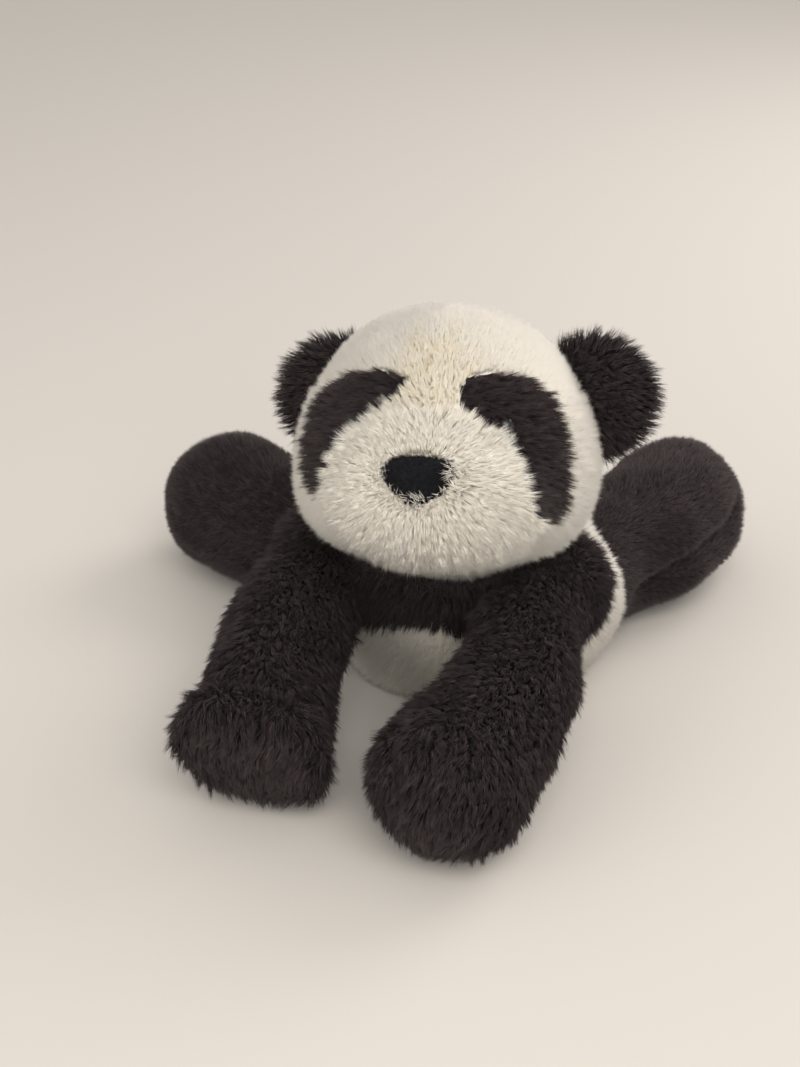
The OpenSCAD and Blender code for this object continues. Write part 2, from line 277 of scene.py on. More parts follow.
def knit(name, a, b, pitch=1.1, rough=(0.75, 0.95), bump=0.5, sheen=0.25, blotch=22.0):
    """Knitted or woven cloth: two crossed rows of loops under a cloudy colour."""
    m, nt, p = tree(name)
    n, link = nt.nodes, nt.links.new
    co = n.new("ShaderNodeTexCoord")
    cloud = n.new("ShaderNodeTexNoise")
    cloud.inputs["Scale"].default_value = 1000 / blotch
    cloud.inputs["Detail"].default_value = 5
    fine = n.new("ShaderNodeTexNoise")
    fine.inputs["Scale"].default_value = 1400
    rows = []
    for direction in ("X", "Z"):
        w = n.new("ShaderNodeTexWave")
        w.bands_direction = direction
        w.inputs["Scale"].default_value = 314 / pitch
        w.inputs["Distortion"].default_value = 1.2
        w.inputs["Detail"].default_value = 1
        link(co.outputs["Object"], w.inputs["Vector"])
        rows.append(w)
    link(co.outputs["Object"], cloud.inputs["Vector"])
    link(co.outputs["Object"], fine.inputs["Vector"])
    weave = n.new("ShaderNodeMath")
    weave.operation = "MULTIPLY"
    link(rows[0].outputs["Fac"], weave.inputs[0])
    link(rows[1].outputs["Fac"], weave.inputs[1])
    total = n.new("ShaderNodeMath")
    total.operation = "MULTIPLY_ADD"
    total.inputs[1].default_value = 0.45
    link(weave.outputs[0], total.inputs[0])
    link(cloud.outputs["Fac"], total.inputs[2])
    ramp_ = n.new("ShaderNodeValToRGB")
    ramp_.color_ramp.elements[0].position = 0.3
    ramp_.color_ramp.elements[1].position = 0.95
    ramp_.color_ramp.elements[0].color = (*a, 1)
    ramp_.color_ramp.elements[1].color = (*b, 1)
    link(total.outputs[0], ramp_.inputs["Fac"])
    link(ramp_.outputs["Color"], p.inputs["Base Color"])
    span = n.new("ShaderNodeMapRange")
    span.inputs["To Min"].default_value, span.inputs["To Max"].default_value = rough
    link(cloud.outputs["Fac"], span.inputs["Value"])
    link(span.outputs["Result"], p.inputs["Roughness"])
    height = n.new("ShaderNodeMath")
    height.operation = "MULTIPLY_ADD"
    height.inputs[1].default_value = 0.4
    link(fine.outputs["Fac"], height.inputs[0])
    link(weave.outputs[0], height.inputs[2])
    bumped = n.new("ShaderNodeBump")
    bumped.inputs["Strength"].default_value = bump
    bumped.inputs["Distance"].default_value = 0.0004
    link(height.outputs[0], bumped.inputs["Height"])
    link(bumped.outputs["Normal"], p.inputs["Normal"])
    p.inputs["Specular IOR Level"].default_value = 0.2
    p.inputs["Sheen Weight"].default_value = sheen
    p.inputs["Sheen Roughness"].default_value = 0.5
    return m


def moulded_plastic(name, a, b, rough=(0.05, 0.12), coat=0.6, scale=260):
    m, nt, p = tree(name)
    n, link = nt.nodes, nt.links.new
    co = n.new("ShaderNodeTexCoord")
    cloud = n.new("ShaderNodeTexNoise")
    cloud.inputs["Scale"].default_value = scale
    cloud.inputs["Detail"].default_value = 4
    link(co.outputs["Object"], cloud.inputs["Vector"])
    ramp_ = n.new("ShaderNodeValToRGB")
    ramp_.color_ramp.elements[0].color = (*a, 1)
    ramp_.color_ramp.elements[1].color = (*b, 1)
    link(cloud.outputs["Fac"], ramp_.inputs["Fac"])
    link(ramp_.outputs["Color"], p.inputs["Base Color"])
    span = n.new("ShaderNodeMapRange")
    span.inputs["To Min"].default_value, span.inputs["To Max"].default_value = rough
    link(cloud.outputs["Fac"], span.inputs["Value"])
    link(span.outputs["Result"], p.inputs["Roughness"])
    p.inputs["Coat Weight"].default_value = coat
    p.inputs["Coat Roughness"].default_value = 0.04
    return m


def dress(ob, material, fallback=None):
    """The patterned material on the object, over a plain one of the same colour on the mesh."""
    ob.data.materials.clear()
    ob.data.materials.append(fallback or material)
    if fallback:
        ob.material_slots[0].link = "OBJECT"
        ob.material_slots[0].material = material


# root tone, darker than the rest as painted shade down among the strands, then three tones of the outer
# half of the strands
FUR = {
    "dark": [(0.009, 0.006, 0.007), (0.028, 0.019, 0.021), (0.055, 0.040, 0.042), (0.014, 0.009, 0.010)],
    "white": [(0.92, 0.87, 0.77), (0.95, 0.91, 0.83), (0.96, 0.93, 0.86), (0.93, 0.88, 0.79)],
    "cream": [(0.88, 0.81, 0.66), (0.93, 0.87, 0.75), (0.95, 0.90, 0.79), (0.89, 0.82, 0.67)],
    "velvet": [(0.002, 0.002, 0.003), (0.004, 0.004, 0.006), (0.007, 0.007, 0.010), (0.003, 0.003, 0.004)],
}
SLOT = {"dark": "dark_plush", "white": "white_plush", "cream": "white_plush", "velvet": "nose_velvet"}
strand_mats = {
    k: [
        plain(f"{k}_strand_{i}", c, rough=0.7, sheen={"velvet": 0.0, "dark": 0.10}.get(k, 0.16),
              tint=(0.75, 0.66, 0.66) if k == "dark" else (1, 1, 1))
        for i, c in enumerate(v)
    ]
    for k, v in FUR.items()
}
# backing cloth: a knit in the pile's own colour, set a little darker than the pile as painted shade in the
# gaps between tufts
ground = {
    "dark": (knit("dark_ground_cloth", (0.012, 0.009, 0.009), (0.034, 0.026, 0.026)),
             plain("dark_ground", (0.024, 0.018, 0.018))),
    "white": (knit("white_ground_cloth", (0.84, 0.79, 0.69), (0.94, 0.90, 0.82)),
              plain("white_ground", (0.9, 0.85, 0.76))),
    "cream": (knit("cream_ground_cloth", (0.82, 0.76, 0.62), (0.93, 0.88, 0.75)),
              plain("cream_ground", (0.87, 0.8, 0.64))),
}


# ---------- pile ----------
def scatter(me, amount, seed):
    """Even random points on a mesh: places, normals."""
    me.calc_loop_triangles()
    t = np.empty(len(me.loop_triangles) * 3, np.int32)
    me.loop_triangles.foreach_get("vertices", t)
    t = t.reshape(-1, 3)
    p, nv = points(me), normals(me)
    a, b, c = p[t[:, 0]], p[t[:, 1]], p[t[:, 2]]
    area = np.linalg.norm(np.cross(b - a, c - a), axis=1) / 2
    rng = np.random.default_rng(seed)
    n = int(area.sum() * amount * AMOUNT)
    total = np.cumsum(area)
    pick = np.searchsorted(total, (np.arange(n) + rng.random(n)) / n * total[-1])
    pick = np.minimum(pick, len(t) - 1)
    w = rng.dirichlet((1, 1, 1), n)
    q = (p[t[pick]] * w[:, :, None]).sum(1)
    nn = unit((nv[t[pick]] * w[:, :, None]).sum(1))
    return q, nn


def clumped(q, every, seed):
    """The index of the nearest of the chosen strands, for each strand."""
    rng = np.random.default_rng(seed)
    chosen = np.sort(rng.choice(len(q), max(1, len(q) // every), replace=False))
    kd = KDTree(len(chosen))
    for i in chosen:
        kd.insert(q[i], int(i))
    kd.balance()
    return np.array([kd.find(v)[1] for v in q], int)


def strands(q, n, lay, length, tilt, seed, wide=0.2, pull=0.45, every=8, droop=0.12, curl=0.2):
    """Points of each strand: root ring, middle ring and tip, or for short pile the root ring and tip."""
    rng = np.random.default_rng(seed)
    k = len(q)
    lay = unit(lay - (lay * n).sum(1, keepdims=True) * n)
    near = clumped(q, every, seed + 1)
    wild = 0.35 + 1.3 * pull
    swirl = np.radians(rng.normal(0, 17 * wild, k)[near] + rng.normal(0, 8, k))
    swirl = (swirl + curl * waves(q, 24, seed + 2))[:, None]
    lay = lay * np.cos(swirl) + np.cross(n, lay) * np.sin(swirl)
    tuft = 0.16 * wild * rng.normal(size=k)[near].clip(-2, 2)
    size = length * (1 + tuft + 0.1 * rng.normal(size=k).clip(-2, 2))
    lean = np.radians(tilt + rng.normal(0, 7 * wild, k)[near] + rng.normal(0, 5, k))
    a, b = 0.55 * lean[:, None], 1.35 * lean[:, None]
    first = n * np.cos(a) + lay * np.sin(a)
    last = unit(n * np.cos(b) + lay * np.sin(b) + [0, 0, -droop])
    mid = q + first * size[:, None] * 0.5
    tip = mid + last * size[:, None] * 0.5
    mid = mid + (mid[near] - mid) * pull * 0.28
    tip = tip + (tip[near] - tip) * pull
    tip += rng.normal(0, 0.25, (k, 3))
    side = unit(np.cross(first, rng.normal(size=(k, 3))))
    other = np.cross(first, side)
    w = (wide * (1 + 0.15 * rng.normal(size=k).clip(-2, 2)))[:, None]
    bent = length.mean() > BENT_OVER
    out = np.empty((k, 7 if bent else 4, 3))
    for i in range(3):
        t = 2 * math.pi * i / 3
        spoke = side * math.cos(t) + other * math.sin(t)
        out[:, i] = q - n * ROOT_DEPTH + spoke * w
        if bent:
            out[:, 3 + i] = mid + spoke * w * 0.85
    out[:, -1] = tip
    tone = rng.choice([1, 2, 3], k, p=[0.5, 0.25, 0.25])[near]
    loose = rng.random(k) < 0.25
    tone[loose] = rng.choice([1, 2, 3], loose.sum())
    return out, tone


# corners of a strand's faces, the corner each face starts at, and the faces in the root colour, whose
# darkness is painted shade
BENT = (np.array([0, 2, 1, 0, 1, 4, 3, 1, 2, 5, 4, 2, 0, 3, 5, 3, 4, 6, 4, 5, 6, 5, 3, 6]),
        np.array([0, 3, 7, 11, 15, 18, 21]), 4)
STRAIGHT = (np.array([0, 2, 1, 0, 1, 3, 1, 2, 3, 2, 0, 3]), np.array([0, 3, 6, 9]), 1)


def pile(name, v, tone, kind, body, *nodes, floor=0.35):
    """One mesh of all the strands of a panel."""
    k, per = v.shape[:2]
    corners, starts, shaded_roots = BENT if per == 7 else STRAIGHT
    v = v.copy()
    low = v[..., 2] < floor
    v[..., 2] = np.where(low, floor + 0.04 * np.abs(v[..., 2] - floor).clip(0, 10), v[..., 2])
    me = bpy.data.meshes.new(name)
    me.vertices.add(per * k)
    me.vertices.foreach_set("co", (v * MM).astype(np.float32).ravel())
    loops = (corners[None, :] + per * np.arange(k)[:, None]).ravel().astype(np.int32)
    me.loops.add(len(loops))
    me.loops.foreach_set("vertex_index", loops)
    first = starts[None, :] + len(corners) * np.arange(k)[:, None]
    me.polygons.add(first.size)
    me.polygons.foreach_set("loop_start", first.ravel().astype(np.int32))
    for m in strand_mats[kind]:
        me.materials.append(m)
    index = np.zeros(first.shape, np.int32)
    # the root faces keep the first, darker material: painted shade at the foot of the pile
    index[:, shaded_roots:] = tone[:, None]
    me.polygons.foreach_set("material_index", index.ravel())
    me.polygons.foreach_set("use_smooth", np.ones(first.size, bool))
    me.update(calc_edges=True)
    ob = bpy.data.objects.new(name, me)
    bpy.context.scene.collection.objects.link(ob)
    finish_piece(ob, body, SLOT[kind], *nodes)
    return ob


def finish_piece(ob, body, slot, *nodes):
    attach(ob, body)
    if nodes:
        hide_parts(*nodes)


def backing(name, base, keep, kind, body, *nodes):
    """The cloth of one panel: the faces of base that keep is true for, with a real thickness."""
    me = base.data
    p = points(me)
    corner = np.empty(len(me.loops), np.int32)
    me.loops.foreach_get("vertex_index", corner)
    faces = []
    for poly in me.polygons:
        if keep[poly.index]:
            faces.append(tuple(corner[poly.loop_start:poly.loop_start + poly.loop_total]))
    used = np.unique([i for f in faces for i in f])
    to = np.full(len(p), -1)
    to[used] = np.arange(len(used))
    ob = mesh_object(name, p[used], [tuple(int(to[i]) for i in f) for f in faces])
    ob.data.polygons.foreach_set("use_smooth", np.ones(len(faces), bool))
    m = ob.modifiers.new("thickness", "SOLIDIFY")
    m.thickness, m.offset = CLOTH * MM, -1
    applied(ob)
    # the backing's darker cloth colour is painted shade for the gaps in the pile
    dress(ob, *ground[kind])
    finish_piece(ob, body, SLOT[kind], *nodes)
    return ob


def centres(me):
    c = np.empty(len(me.polygons) * 3, np.float32)
    me.polygons.foreach_get("center", c)
    return c.reshape(-1, 3).astype(float) / MM


def upholster(base, region, panels, density, seed, lay, length, tilt, trim=None, **look):
    """Backing cloth and pile for every panel of a shape.

    region(points) gives a panel number; panels is [(node, kind, body, density, half width, pull)];
    lay, length and tilt take (points, panel numbers); trim(points) is true where no pile grows.
    """
    face_of = region(centres(base.data))
    q, n = scatter(base.data, density, seed)
    r = region(q)
    rng = np.random.default_rng(seed + 500)
    share = np.array([panel[3] for panel in panels])[r] / density
    some = rng.random(len(q)) < share
    q, n, r = q[some], n[some], r[some]
    direction, size, lean = lay(q, r), length(q, r), tilt(q, r)
    bare = trim(q) if trim else np.zeros(len(q), bool)
    named = {}
    for i, (node, kind, body, _, wide, pull) in enumerate(panels):
        named[node] = named.get(node, 0) + 1
        tag = node + (f".{named[node]}" if named[node] > 1 else "")
        if (face_of == i).any():
            backing(tag + ".cloth", base, face_of == i, kind, body, node)
        idx = np.flatnonzero((r == i) & ~bare)
        if len(idx) < 10:
            continue
        v, tone = strands(
            q[idx], n[idx], direction[idx], size[idx], lean[idx], seed * 31 + i, wide, pull, **look
        )
        triangles = len(idx) * (10 if v.shape[1] == 7 else 4)
        parts = -(-triangles // PIECE_TRIANGLES)
        for k in range(parts):
            number = f"_{k + 1}" if parts > 1 else ""
            pile(f"{tag}.pile{number}", v[k::parts], tone[k::parts], kind, body, node)
    bpy.data.objects.remove(base)


# ---------- head ----------
MUZZLE = np.array([3.0, -40.0, -14.0])
NOSE = np.array([0.0, -66.0, -4.0])
PATCH_L = [
    (12, 27), (15, 31), (22, 32), (33, 30), (42, 23), (48, 10), (50, -4), (50, -16), (45, -25),
    (39, -19), (33, -4), (27, 7), (18, 12), (13, 19),
]
PATCH_R = [
    (-6, 29), (-11, 22), (-19, 16), (-26, 9), (-32, 0), (-36, -9), (-42, -18), (-48, -11),
    (-50, 2), (-48, 14), (-41, 23), (-31, 29), (-19, 32),
]


def head_level(q, extra=0.0):
    """Less than one inside the head, one on its surface."""
    z = q[..., 2] + 10
    h = np.where(z > 0, 62 + extra, 42 + extra)
    return (q[..., 0] ** 2 + q[..., 1] ** 2) / (59 + extra) ** 2 + (z / h) ** 2


def off_head(p, extra):
    """Presses points out of the head grown by extra."""
    q = to_head(p)
    level = head_level(q, extra)
    push = np.where(level < 1, 1 / np.sqrt(np.maximum(level, 0.05)), 1)[:, None]
    return np.where(level[:, None] < 1, from_head((q + [0, 0, 10]) * push - [0, 0, 10]), p)


def inside(x, z, outline):
    hit = np.zeros(x.shape, bool)
    for (x0, z0), (x1, z1) in zip(outline, outline[1:] + outline[:1]):
        cross = (z0 > z) != (z1 > z)
        hit ^= cross & (x < x0 + (z - z0) * (x1 - x0) / ((z1 - z0) or 1e-9))
    return hit


def shape_head(p, n):
    q = to_head(p)
    x, y, z = q.T
    face = ramp(-y, -10, 25)
    out = 0.7 * waves(q, 40, 11)
    # cheeks full and low, brow flat, a soft step between the muzzle and the cheeks
    out += 3.0 * np.exp(-(((np.abs(x) - 44) / 17) ** 2) - ((z + 27) / 14) ** 2) * ramp(-y, -20, 20)
    out += 1.8 * np.exp(-((x / 20) ** 2) - ((z - 26) / 14) ** 2) * face
    out += 2.2 * ramp(z, 22, 52)
    out -= 2.0 * np.exp(-(((np.abs(x - 1) - 27) / 10) ** 2) - ((z - 9) / 9) ** 2) * face
    return p + n * out[:, None]


def head_forms(skull=0.0, muzzle=0.0):
    """The skull and the muzzle, each inset by so much."""
    v, f = pear(58.2 - skull, -10, 61.2 - skull, 41.2 - skull, 1.85)
    w, g = pear(26.2 - muzzle, 0, 38.2 - muzzle, 38.2 - muzzle)
    return [(from_head(v), f), (from_head(w[:, [2, 1, 0]] * [1, 1, -1] + MUZZLE), g)]


head = moulded("head_base", head_forms(), relax=14)
reshape(head, shape_head, 2)

HEAD_PANELS = [
    ("forehead_panel", "white", "head", 11.0, 0.12, 0.18),
    ("head_back_panel", "white", "head", 5.8, 0.155, 0.26),
    ("cheek_panel_left", "white", "head", 11.0, 0.12, 0.28),
    ("cheek_panel_right", "white", "head", 11.0, 0.12, 0.28),
    ("chin_panel", "white", "head", 10.0, 0.125, 0.32),
    ("muzzle_panel", "white", "head", 8.0, 0.12, 0.26),
    ("eye_patch_left", "dark", "head", 7.0, 0.15, 0.4),
    ("eye_patch_right", "dark", "head", 7.0, 0.15, 0.4),
    ("forehead_panel", "cream", "head", 9.0, 0.14, 0.4),
]
BACK, CHIN, MUZZLE_PILE, PATCH_PILES, BRIDGE = 1, 4, 5, (6, 7), 8


def head_region(p):
    q = to_head(p)
    x, y, z = q.T
    r = np.where(x > 0, 2, 3)
    r = np.where(z < -34, CHIN, r)
    r = np.where(z > 20, 0, r)
    mottle = np.random.default_rng(len(q)).normal(0, 0.22, len(q))
    bridge = ((x - 2) / 17) ** 2 + ((z - 22) / 24) ** 2 + 0.35 * waves(q, 14, 3) + mottle < 1
    r = np.where(bridge & (y < -10), BRIDGE, r)
    r = np.where(y > 12, BACK, r)
    muzzle = ((x - MUZZLE[0]) / 39) ** 2 + ((z + 13) / 30) ** 2 < 1
    r = np.where(muzzle & (y < -26), MUZZLE_PILE, r)
    for outline, patch in zip((PATCH_L, PATCH_R), PATCH_PILES):
        r = np.where(inside(x, z, outline) & (y < -8), patch, r)
    return r


def crossing(q, r):
    """Some of the hairs by the nose stand out over its edge."""
    ring = ((q[:, 0] - 0.3) / 14) ** 2 + ((q[:, 2] + 4.5) / 9.5) ** 2
    odd = np.sin(q @ [211.0, 97.0, 173.0]) > 0.72
    return (r == MUZZLE_PILE) & (ring > 0.75) & (ring < 1.75) & (q[:, 2] < 0) & odd


def head_lay(p, r):
    q = to_head(p)
    away = unit(q - NOSE)
    turn = np.sin(q @ [61.0, 83.0, 47.0])[:, None] * np.cross(away, [0, 1, 0])
    away = np.where(crossing(q, r)[:, None], unit(-0.9 * away + 0.8 * turn), away)
    side = np.stack([np.sign(q[:, 0] - 1), 0.2 + 0 * q[:, 0], -0.35 + 0 * q[:, 0]], 1)
    up = np.stack([0.25 * np.sign(q[:, 0]), 0.5 + 0 * q[:, 0], 1 + 0 * q[:, 0]], 1)
    mix = np.where(np.isin(r, PATCH_PILES)[:, None], side, away)
    mix = np.where(((r == 0) | (r == BRIDGE))[:, None], unit(up) * 0.7 + away * 0.3, mix)
    return mix @ HEAD.T


def head_length(p, r):
    q = to_head(p)
    near = np.linalg.norm(q - NOSE, axis=1)
    base = np.array([5.2, 6.6, 6.6, 6.6, 7.2, 9.0, 7.2, 7.2, 4.8])[r]
    base = np.where(r == MUZZLE_PILE, base * (0.62 + 0.38 * ramp(near, 10, 26)), base)
    base = np.where(crossing(q, r), 9.5, base)
    return base * (1 - 0.18 * ramp(q[:, 2], 30, 50))


def head_tilt(p, r):
    base = np.array([40, 44, 44, 44, 48, 47, 42, 42, 32])[r].astype(float)
    return np.where(crossing(to_head(p), r), 36, base)


def head_trim(p):
    q = to_head(p)
    x, y, z = q.T
    return (y < -50) & (((x - 0.5) / 11.0) ** 2 + ((z + 4.5) / 7.5) ** 2 < 1)


# ---------- ears ----------
def ear(side, centre, body, seed):
    c = np.array(centre, float)
    v, f = pear(21.5, 0, 6.4, 6.4)
    v = v[:, [0, 2, 1]] * [1, -1, 1]
    base = moulded("ear_base_" + side, [(from_head(v + c), f)], cell=1.9, relax=3)

    def shape(p, n):
        q = to_head(p)
        d = q - c
        r = np.hypot(d[:, 0], d[:, 2])
        q[:, 1] -= 2.0 * ramp(r, 7, 21) - 0.8 * waves(q, 26, seed)
        return off_head(from_head(q), 2.6)

    reshape(base, shape)

    def region(p):
        return np.where(to_head(p)[:, 1] < c[1] - 1.6, 0, 1)

    def lay(p, r):
        q = to_head(p) - c * [0.6, 1, 0.9]
        return (q * [1, 0.2, 1] + [0, 0, -4]) @ HEAD.T

    def length(p, r):
        d = to_head(p) - c
        rim = ramp(np.hypot(d[:, 0], d[:, 2]), 11, 21)
        return 6.3 + 2.6 * rim

    def tilt(p, r):
        d = to_head(p) - c
        return 46 - 20 * ramp(np.hypot(d[:, 0], d[:, 2]), 13, 21)

    def trim(p):
        return head_level(to_head(p), 2.55) < 1.0

    panels = [
        ("ear_front_" + side, "dark", body, 5.6, 0.16, 0.42),
        ("ear_back_" + side, "dark", body, 4.4, 0.17, 0.4),
    ]
    upholster(base, region, panels, 5.6, seed, lay, length, tilt, trim, droop=0.05)


# ---------- torso ----------
def to_torso(p):
    q = p - TORSO
    c, s = math.cos(YAW), math.sin(YAW)
    return np.stack([q[:, 0] * c + q[:, 1] * s, -q[:, 0] * s + q[:, 1] * c, q[:, 2]], 1)


def from_line(p):
    a, d = ARM_R.o, ARM_L.o - ARM_R.o
    t = np.clip(((p - a) @ d) / (d @ d), 0, 1)
    return np.linalg.norm(p - a - t[:, None] * d, axis=1)


def from_root(p, limb):
    """Offset from the limb's joint, with the thinned front half drawn out to a full one."""
    d = p - limb.o
    ahead = np.minimum(d @ limb.v, 0) * (1 / limb.front - 1)
    return d, d + ahead[:, None] * limb.v


def cup(p, limb, extra=0.2):
    """Presses the cloth into the hollow that the limb's root turns in."""
    R = limb.root + extra
    d, e = from_root(p, limb)
    t = d @ limb.m
    s = np.linalg.norm(e - (e @ limb.m)[:, None] * limb.m, axis=1)
    hit = (s < R) & (t > -np.sqrt(np.clip(R**2 - s**2, 0, None))) & (t < 1.4 * R)
    side = d - t[:, None] * limb.m
    new = limb.o + side - limb.m * np.sqrt(np.clip(R**2 - s**2, 0, None))[:, None]
    return np.where(hit[:, None], new, p)


def shape_torso(p, n):
    out = 1.4 * waves(p, 46, 21) - 0.6
    out += 10.0 * np.exp(-np.sum(((p - [67, -26, 34]) / [22, 17, 30]) ** 2, axis=1))
    p = p + n * out[:, None]
    for limb in LIMBS:
        p = cup(p, limb)
    return over(off_head(p, NECK_GAP), 0.5)


def barrel(r):
    """The torso's round form."""
    v, f = pear(r, 0, r - 1, r - 1)
    return v + TORSO, f


torso = moulded("torso_base", [barrel(60.2), capsule(ARM_R.o, ARM_L.o, 23.8)], relax=8)
reshape(torso, shape_torso, 2)
reshape(torso, lambda p, n: over(p, 0.4))

TORSO_PANELS = [
    ("belly_panel", "white", "torso", 4.6, 0.16, 0.25),
    ("flank_panel_left", "white", "torso", 4.4, 0.17, 0.25),
    ("flank_panel_right", "white", "torso", 4.4, 0.17, 0.25),
    ("seat_panel", "white", "torso", 0.6, 0.4, 0.2),
    ("chest_yoke", "dark", "torso", 4.6, 0.18, 0.45),
]
YOKE = 4


def torso_region(p):
    q = to_torso(p)
    r = np.where(q[:, 1] < -16, 0, np.where(q[:, 0] > 0, 1, 2))
    r = np.where(p[:, 2] < 3, 3, r)
    return np.where(from_line(p) < 25.4, YOKE, r)


def torso_lay(p, r):
    q = to_torso(p)
    back = np.stack([0.3 * np.sign(q[:, 0]), 0.55 + 0 * q[:, 0], -0.8 + 0 * q[:, 0]], 1)
    side = np.stack([np.sign(q[:, 0]) * 0.5, -0.3 + 0 * q[:, 0], -1 + 0 * q[:, 0]], 1)
    lay = np.where((r == YOKE)[:, None], side, back)
    for limb in LIMBS:
        d, e = from_root(p, limb)
        near = 1 - ramp(np.linalg.norm(e, axis=1), limb.root + 3, limb.root + 13)
        lay = lay * (1 - near[:, None]) + (limb.u * 0.6 - unit(d)) * near[:, None]
    return lay


def neck_room(p):
    """From 0 where the torso meets the head to 1 where it is clear of it."""
    return ramp(head_level(to_head(p), NECK_GAP), 1.0, 1.35)


def torso_length(p, r):
    base = np.array([5.8, 5.8, 6.2, 2.6, 7.5])[r]
    room = neck_room(p)
    least = np.where(r == YOKE, 0.45, 0.85)
    return base * (least + (1 - least) * room)


def torso_tilt(p, r):
    return np.array([46, 44, 44, 70, 46])[r] + np.where(r == YOKE, 22, -14) * (1 - neck_room(p))


def torso_trim(p):
    hidden = head_level(to_head(p), 3.6) < 1.0
    for limb in LIMBS:
        hidden |= np.linalg.norm(from_root(p, limb)[1], axis=1) < limb.root + 0.6
    return hidden


# ---------- arms and legs ----------
def limb_piece(limb, seed, shape, nodes, region, sizes, tilts, density, wide, pull):
    """The skin of an arm or a leg: two long panels and a sole under its end."""
    base = moulded(nodes[0] + "_base", [limb_shape(limb, 0.8)], relax=3)
    reshape(base, shape, 1)
    reshape(base, lambda p, n: over(p, 0.5))

    def lay(p, r):
        q = limb.local(p)
        end = ramp(q[:, 2], limb.len, limb.len + limb.cap)[:, None]
        sway = (0.25 * np.sin(q[:, 2] / 17 + seed))[:, None]
        return limb.u + sway * limb.v * (1 - end) + [0, 0, -0.25] * (1 + end)

    def length(p, r):
        q = limb.local(p)
        size = np.array(sizes)[r] * (0.75 + 0.25 * ramp(q[:, 2], -5, 20))
        return size * (1 - 0.45 * ramp(-p[:, 2], -4, 0))

    def tilt(p, r):
        return np.array(tilts)[r].astype(float)

    def trim(p):
        q = limb.local(p)
        inside_head = head_level(to_head(p), 1.0) < 1
        return (q[:, 2] < -0.55 * limb.root) | inside_head

    body = f"{nodes[0].split('_')[0]}_{limb.side}"
    panels = [
        (f"{node}_{limb.side}", "dark", body, amount, width, pull)
        for node, amount, width in zip(nodes, (density, density, 0.8), (wide, wide, 0.36))
    ]
    upholster(base, region(limb), panels, density, seed, lay, length, tilt, trim, curl=0.55)


def lumps(limb, seed, amount=1.2):
    def change(p, n):
        q = limb.local(p)
        return p + n * (amount * waves(q, 34, seed) * ramp(q[:, 2], 4, 24))[:, None]
    return change


def arm_region(limb):
    def region(p):
        q = limb.local(p)
        r = np.where(q[:, 0] * (1 if limb.side == "left" else -1) > 0, 0, 1)
        sole = (q[:, 2] > limb.len * 0.62) & (p[:, 2] < 9)
        return np.where(sole, 2, r)
    return region


def shape_arm_right(p, n):
    """A broad flat sole with a turned-out rim, and a fold just above it."""
    L = ARM_R
    p = lumps(L, 31)(p, n)
    q = L.local(p)
    s = q[:, 2] + 1.5 * waves(q, 40, 33)
    reach = L.len + 11
    q[:, 2] = np.where(q[:, 2] > reach, reach + 0.3 * (q[:, 2] - reach), q[:, 2])
    flare = 1 - 0.12 * ramp(s, 45, 75) * (1 - ramp(s, L.len - 6, L.len + 6))
    flare += 0.18 * np.exp(-(((s - L.len - 10) / 6) ** 2)) - 0.15 * np.exp(-(((s - L.len + 1) / 3.2) ** 2))
    flare -= 0.05 * np.exp(-(((s - L.len * 0.62) / 4.5) ** 2))
    q[:, :2] *= flare[:, None]
    bend = ramp(s, 0, L.len * 0.5) - ramp(s, L.len * 0.5, L.len)
    q[:, 0] -= 5.0 * bend
    return L.world(q)


def shape_arm_left(p, n):
    L = ARM_L
    p = lumps(L, 37)(p, n)
    q = L.local(p)
    s = q[:, 2]
    flare = 1 - 0.07 * ramp(s, 22, 50) * (1 - ramp(s, L.len - 30, L.len))
    flare += 0.03 * np.exp(-(((s - L.len - 2) / 10) ** 2)) - 0.05 * np.exp(-(((s - L.len - 13) / 3) ** 2))
    q[:, :2] *= flare[:, None]
    q[:, 0] *= np.where(q[:, 0] > 0, 1 - 0.2 * np.exp(-(((s - 25) / 15) ** 2)), 1)
    q[:, 0] += 5.0 * ramp(s, 12, 50) * (1 - ramp(s, 62, 112))
    return L.world(q)


def shape_leg(L, deep, seed):
    def change(p, n):
        p = lumps(L, seed)(p, n)
        q = L.local(p)
        s = q[:, 2]
        thin = L.front + (1 - L.front) * ramp(s, 8, 48)
        q[:, 0] *= np.where(q[:, 0] < 0, thin, 1)
        line = q[:, 1] + 10 - 0.20 * s + 1.2 * np.sin(s / 9)
        pinch = np.exp(-((line / 3.8) ** 2)) * ramp(s, 4, 18) * (1 - ramp(s, L.len + 6, L.len + 18))
        roll = np.exp(-(((line + 11) / 8) ** 2)) * ramp(s, 4, 30)
        faces = ramp(-n[:, 1], 0.0, 0.5)
        return L.world(q) - n * ((deep * pinch - 0.25 * deep * roll) * faces)[:, None]
    return change


def leg_region(limb):
    def region(p):
        q = limb.local(p)
        r = np.where(q[:, 1] > -7, 0, 1)
        sole = (q[:, 2] > limb.len * 0.62) & (p[:, 2] < 9)
        return np.where(sole, 2, r)
    return region


LIMB_SHAPES = (
    (ARM_L, "arm", 51, shape_arm_left),
    (ARM_R, "arm", 53, shape_arm_right),
    (LEG_L, "leg", 55, shape_leg(LEG_L, 9.5, 55)),
    (LEG_R, "leg", 57, shape_leg(LEG_R, 2.0, 57)),
)
LIMB_KINDS = {
    "arm": {"nodes": ["arm_outer", "arm_inner", "paw_sole"], "region": arm_region, "sizes": [8.0, 8.0, 3.0],
            "tilts": [44, 44, 68], "density": 3.9, "wide": 0.167, "pull": 0.45},
    "leg": {"nodes": ["leg_top", "leg_under", "foot_sole"], "region": leg_region, "sizes": [4.4, 4.4, 2.6],
            "tilts": [42, 42, 68], "density": 5.0, "wide": 0.14, "pull": 0.18},
}


